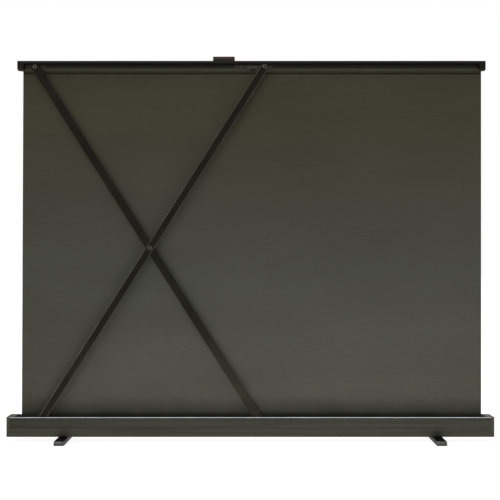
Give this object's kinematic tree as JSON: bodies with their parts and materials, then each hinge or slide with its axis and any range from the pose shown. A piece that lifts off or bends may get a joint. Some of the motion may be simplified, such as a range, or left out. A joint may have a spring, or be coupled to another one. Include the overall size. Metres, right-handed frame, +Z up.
{
  "type": "pull-up projection screen",
  "caption": "Portable floor-standing projection screen: fabric on a spring roller in a low case, raised by a scissor of crossed arms to a top rail, on swivel feet.",
  "frame": {"origin": "on the floor, under the middle of the case", "axes": "+X along the case, to the right as seen from behind; +Y towards the audience; +Z up"},
  "size_m": [2.213, 0.32, 1.7488],
  "materials": {
    "case_aluminium": "satin black anodised",
    "rail_aluminium": "satin black anodised",
    "arm_steel": "satin black paint",
    "foot_steel": "satin black paint",
    "bracket_steel": "blackened zinc plate",
    "rivet_steel": "zinc plate",
    "screw_steel": "blackened zinc plate",
    "spring_steel": "oiled spring steel",
    "grip_bracket_steel": "grey paint",
    "cap_plastic": "matt black moulding",
    "foot_cap_plastic": "matt dark grey moulding",
    "batten_plastic": "matt black",
    "grip_plastic": "satin dark moulding",
    "washer_nylon": "natural grey nylon",
    "screen_fabric": "dark woven back, matt white front with black borders"
  },
  "bodies": {
    "case": {"case_trough": "case_aluminium", "case_end_cap_left": "cap_plastic", "case_end_cap_right": "cap_plastic", "case_cap_screw_left_low": "screw_steel", "case_cap_screw_left_high": "screw_steel", "case_cap_screw_right_low": "screw_steel", "case_cap_screw_right_high": "screw_steel", "lower_track": "bracket_steel", "lower_pivot_bracket": "bracket_steel", "roller_bracket_left": "bracket_steel", "roller_bracket_right": "bracket_steel", "spring_mandrel": "bracket_steel", "roller_spring": "spring_steel", "foot_pivot_left": "screw_steel", "foot_pivot_right": "screw_steel", "foot_washer_left": "washer_nylon", "foot_washer_right": "washer_nylon", "screen_fabric": "screen_fabric"},
    "rear_arm": {"rear_arm": "arm_steel", "lower_pivot_rivet": "rivet_steel", "lower_pivot_washer": "washer_nylon", "centre_rivet": "rivet_steel", "centre_washer": "washer_nylon", "upper_slider_rivet": "rivet_steel", "upper_slider_spacer": "washer_nylon"},
    "front_arm": {"front_arm": "arm_steel", "upper_pivot_rivet": "rivet_steel", "upper_pivot_washer": "washer_nylon", "lower_slider_rivet": "rivet_steel", "lower_slider_washer": "washer_nylon"},
    "rail": {"top_rail": "rail_aluminium", "rail_end_cap_left": "cap_plastic", "rail_end_cap_right": "cap_plastic", "upper_pivot_bracket": "bracket_steel", "pivot_bracket_screw_left": "screw_steel", "pivot_bracket_screw_right": "screw_steel", "hem_batten": "batten_plastic", "hem_clamp_strip": "rail_aluminium", "grip_bracket": "grip_bracket_steel", "pull_grip": "grip_plastic", "grip_screw_left": "screw_steel", "grip_screw_right": "screw_steel"},
    "upper_carriage": {"upper_carriage": "bracket_steel", "glide_pad_left": "washer_nylon", "glide_pad_right": "washer_nylon"},
    "lower_carriage": {"lower_carriage": "bracket_steel"},
    "roller": {"roller_tube": "bracket_steel", "wound_fabric": "screen_fabric", "roller_plug_left": "cap_plastic", "roller_plug_right": "cap_plastic"},
    "left_foot": {"foot_bar_left": "foot_steel", "foot_cap_left_rear": "foot_cap_plastic", "foot_cap_left_front": "foot_cap_plastic"},
    "right_foot": {"foot_bar_right": "foot_steel", "foot_cap_right_rear": "foot_cap_plastic", "foot_cap_right_front": "foot_cap_plastic"}
  },
  "joints": [
    {"name": "scissor_fold", "type": "hinge", "parent": "case", "child": "rear_arm", "pos_m": [-0.981, -0.0322, 0.052], "axis": [0, 1, 0], "range_deg": [0, 56.3], "deforming": ["screen_fabric"]},
    {"name": "scissor_crossing", "type": "hinge", "parent": "rear_arm", "child": "front_arm", "pos_m": [-0.45697, -0.0272, 0.87835], "axis": [0, 1, 0], "range_deg": [-112.7, 0]},
    {"name": "rail_level", "type": "hinge", "parent": "front_arm", "child": "rail", "pos_m": [-0.981, -0.0222, 1.7047], "axis": [0, 1, 0], "range_deg": [0, 56.4]},
    {"name": "upper_carriage_turn", "type": "hinge", "parent": "rear_arm", "child": "upper_carriage", "pos_m": [0.06706, -0.0148, 1.7047], "axis": [0, 1, 0], "range_deg": [-56.4, 0]},
    {"name": "lower_carriage_turn", "type": "hinge", "parent": "front_arm", "child": "lower_carriage", "pos_m": [0.06706, -0.0148, 0.052], "axis": [0, 1, 0], "range_deg": [0, 56.4]},
    {"name": "roller_spin", "type": "hinge", "parent": "case", "child": "roller", "pos_m": [0.005, 0.01605, 0.05], "axis": [1, 0, 0], "range_deg": [0, 3930]},
    {"name": "left_foot_swing", "type": "hinge", "parent": "case", "child": "left_foot", "pos_m": [-0.85, 0, 0.0105], "axis": [0, 0, 1], "range_deg": [0, 90]},
    {"name": "right_foot_swing", "type": "hinge", "parent": "case", "child": "right_foot", "pos_m": [0.85, 0, 0.0105], "axis": [0, 0, 1], "range_deg": [-90, 0]}
  ],
  "couplings": [
    {"joint": "scissor_crossing", "follows": "scissor_fold", "ratio": -2},
    {"joint": "rail_level", "follows": "scissor_fold", "ratio": 1},
    {"joint": "upper_carriage_turn", "follows": "scissor_fold", "ratio": -1},
    {"joint": "lower_carriage_turn", "follows": "scissor_fold", "ratio": 1},
    {"joint": "roller_spin", "follows": "scissor_fold", "ratio": 69.7}
  ]
}
